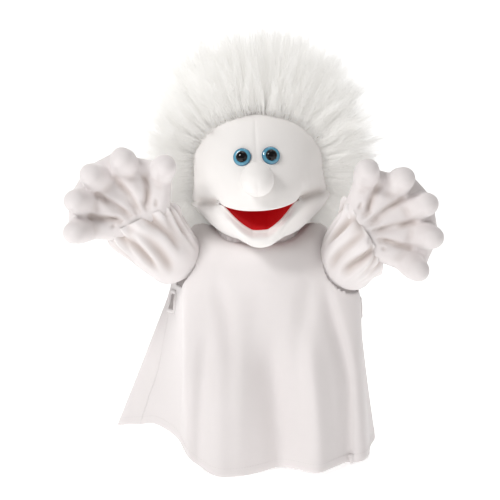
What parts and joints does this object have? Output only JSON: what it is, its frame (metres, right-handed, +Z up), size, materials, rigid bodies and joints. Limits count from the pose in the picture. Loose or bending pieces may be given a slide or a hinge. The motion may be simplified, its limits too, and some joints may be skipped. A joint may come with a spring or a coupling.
{
  "type": "plush hand puppet",
  "caption": "Furry-headed plush hand puppet with a moving mouth, a bell-shaped robe and two gloves whose digits bend.",
  "frame": {"origin": "on the axis of the neck sleeve's bore, in the middle of its length", "axes": "the puppet faces -Y, +X is the puppet's own left, +Z is up along the neck sleeve's bore"},
  "size_m": [0.412, 0.2604, 0.4777],
  "materials": {
    "robe_cloth": "soft brushed knit, matte",
    "elastic": "gathered knit",
    "face_fleece": "short fleece nap, matte",
    "fur_backing": "knitted backing",
    "fur": "long pile faux fur",
    "stuffing": "loose fibre filling",
    "mouth_board": "flexible mouth board",
    "mouth_lining": "red felt",
    "pocket_cloth": "plain cotton",
    "eye_iris": "polished moulded plastic",
    "eye_pupil": "polished moulded plastic",
    "eye_washer": "moulded",
    "glove_velour": "short pile velour"
  },
  "bodies": {
    "robe": {"robe_front": "robe_cloth", "robe_back": "robe_cloth", "hem_front": "robe_cloth", "hem_back": "robe_cloth", "right_slot_binding": "robe_cloth", "left_slot_binding": "robe_cloth", "neck_sleeve": "robe_cloth", "neck_binding": "elastic"},
    "neck": {"neck_collar": "face_fleece", "neck_elastic": "elastic"},
    "head": {"face_right": "face_fleece", "face_left": "face_fleece", "hair_backing_right": "fur_backing", "hair_backing_left": "fur_backing", "fur_right": "fur", "fur_left": "fur", "face_stuffing": "stuffing", "crown_stuffing": "stuffing", "upper_mouth_plate": "mouth_board", "upper_mouth_lining": "mouth_lining", "finger_pocket": "pocket_cloth", "nose_cover_right": "face_fleece", "nose_cover_left": "face_fleece", "nose_stuffing": "stuffing", "right_eye_iris": "eye_iris", "right_eye_pupil": "eye_pupil", "right_eye_washer": "eye_washer", "left_eye_iris": "eye_iris", "left_eye_pupil": "eye_pupil", "left_eye_washer": "eye_washer"},
    "jaw": {"chin_right": "face_fleece", "chin_left": "face_fleece", "lower_mouth_plate": "mouth_board", "lower_mouth_lining": "mouth_lining", "thumb_pocket": "pocket_cloth"},
    "right_arm": {"right_sleeve": "robe_cloth", "right_wrist_elastic": "elastic"},
    "left_arm": {"left_sleeve": "robe_cloth", "left_wrist_elastic": "elastic"},
    "right_hand": {"right_palm": "glove_velour", "right_hand_back": "glove_velour"},
    "left_hand": {"left_palm": "glove_velour", "left_hand_back": "glove_velour"},
    "right_thumb": {"right_thumb": "glove_velour"},
    "right_index": {"right_index": "glove_velour"},
    "right_middle": {"right_middle": "glove_velour"},
    "right_ring": {"right_ring": "glove_velour"},
    "right_little": {"right_little": "glove_velour"},
    "left_thumb": {"left_thumb": "glove_velour"},
    "left_index": {"left_index": "glove_velour"},
    "left_middle": {"left_middle": "glove_velour"},
    "left_ring": {"left_ring": "glove_velour"},
    "left_little": {"left_little": "glove_velour"}
  },
  "joints": [
    {"name": "head_turn", "type": "hinge", "parent": "robe", "child": "neck", "pos_m": [0, 0, 0], "axis": [0, 0, 1], "range_deg": [-12, 12]},
    {"name": "head_nod", "type": "hinge", "parent": "neck", "child": "head", "pos_m": [0.004, 0, 0.028], "axis": [0.9998, -0.0175, 0], "range_deg": [-10, 10]},
    {"name": "jaw_open", "type": "hinge", "parent": "head", "child": "jaw", "pos_m": [0.00135, -0.0198, 0.07194], "axis": [0.9985, -0.0174, 0.0523], "range_deg": [-17, 10]},
    {"name": "right_shoulder_raise", "type": "hinge", "parent": "robe", "child": "right_arm", "pos_m": [-0.095, -0.024, -0.006], "axis": [0, 1, 0], "range_deg": [-65, 5]},
    {"name": "right_wrist_bend", "type": "hinge", "parent": "right_arm", "child": "right_hand", "pos_m": [-0.133, -0.075, 0.045], "axis": [0.9026, 0, 0.4305], "range_deg": [-25, 25]},
    {"name": "right_thumb_curl", "type": "hinge", "parent": "right_hand", "child": "right_thumb", "pos_m": [-0.108, -0.084, 0.0883], "axis": [0.866, 0, -0.5], "range_deg": [-35, 20]},
    {"name": "right_index_curl", "type": "hinge", "parent": "right_hand", "child": "right_index", "pos_m": [-0.14254, -0.084, 0.09408], "axis": [0.9816, 0, 0.1908], "range_deg": [-35, 20]},
    {"name": "right_middle_curl", "type": "hinge", "parent": "right_hand", "child": "right_middle", "pos_m": [-0.16773, -0.084, 0.08097], "axis": [0.7193, 0, 0.6947], "range_deg": [-35, 20]},
    {"name": "right_ring_curl", "type": "hinge", "parent": "right_hand", "child": "right_ring", "pos_m": [-0.18082, -0.084, 0.05962], "axis": [0.2924, 0, 0.9563], "range_deg": [-35, 20]},
    {"name": "right_little_curl", "type": "hinge", "parent": "right_hand", "child": "right_little", "pos_m": [-0.18172, -0.084, 0.03375], "axis": [-0.225, 0, 0.9744], "range_deg": [-35, 20]},
    {"name": "left_shoulder_raise", "type": "hinge", "parent": "robe", "child": "left_arm", "pos_m": [0.101, -0.026, -0.012], "axis": [0, -1, 0], "range_deg": [-65, 5]},
    {"name": "left_wrist_bend", "type": "hinge", "parent": "left_arm", "child": "left_hand", "pos_m": [0.121, -0.075, 0.032], "axis": [0.515, 0, -0.8572], "range_deg": [-25, 25]},
    {"name": "left_thumb_curl", "type": "hinge", "parent": "left_hand", "child": "left_thumb", "pos_m": [0.11751, -0.084, 0.08188], "axis": [0.9976, 0, 0.0698], "range_deg": [-35, 20]},
    {"name": "left_index_curl", "type": "hinge", "parent": "left_hand", "child": "left_index", "pos_m": [0.14675, -0.084, 0.07486], "axis": [0.8572, 0, -0.515], "range_deg": [-35, 20]},
    {"name": "left_middle_curl", "type": "hinge", "parent": "left_hand", "child": "left_middle", "pos_m": [0.16594, -0.084, 0.05392], "axis": [0.4384, 0, -0.8988], "range_deg": [-35, 20]},
    {"name": "left_ring_curl", "type": "hinge", "parent": "left_hand", "child": "left_ring", "pos_m": [0.17073, -0.084, 0.02677], "axis": [-0.1045, 0, -0.9945], "range_deg": [-35, 20]},
    {"name": "left_little_curl", "type": "hinge", "parent": "left_hand", "child": "left_little", "pos_m": [0.1593, -0.084, -0.00014], "axis": [-0.6428, 0, -0.766], "range_deg": [-35, 20]}
  ]
}
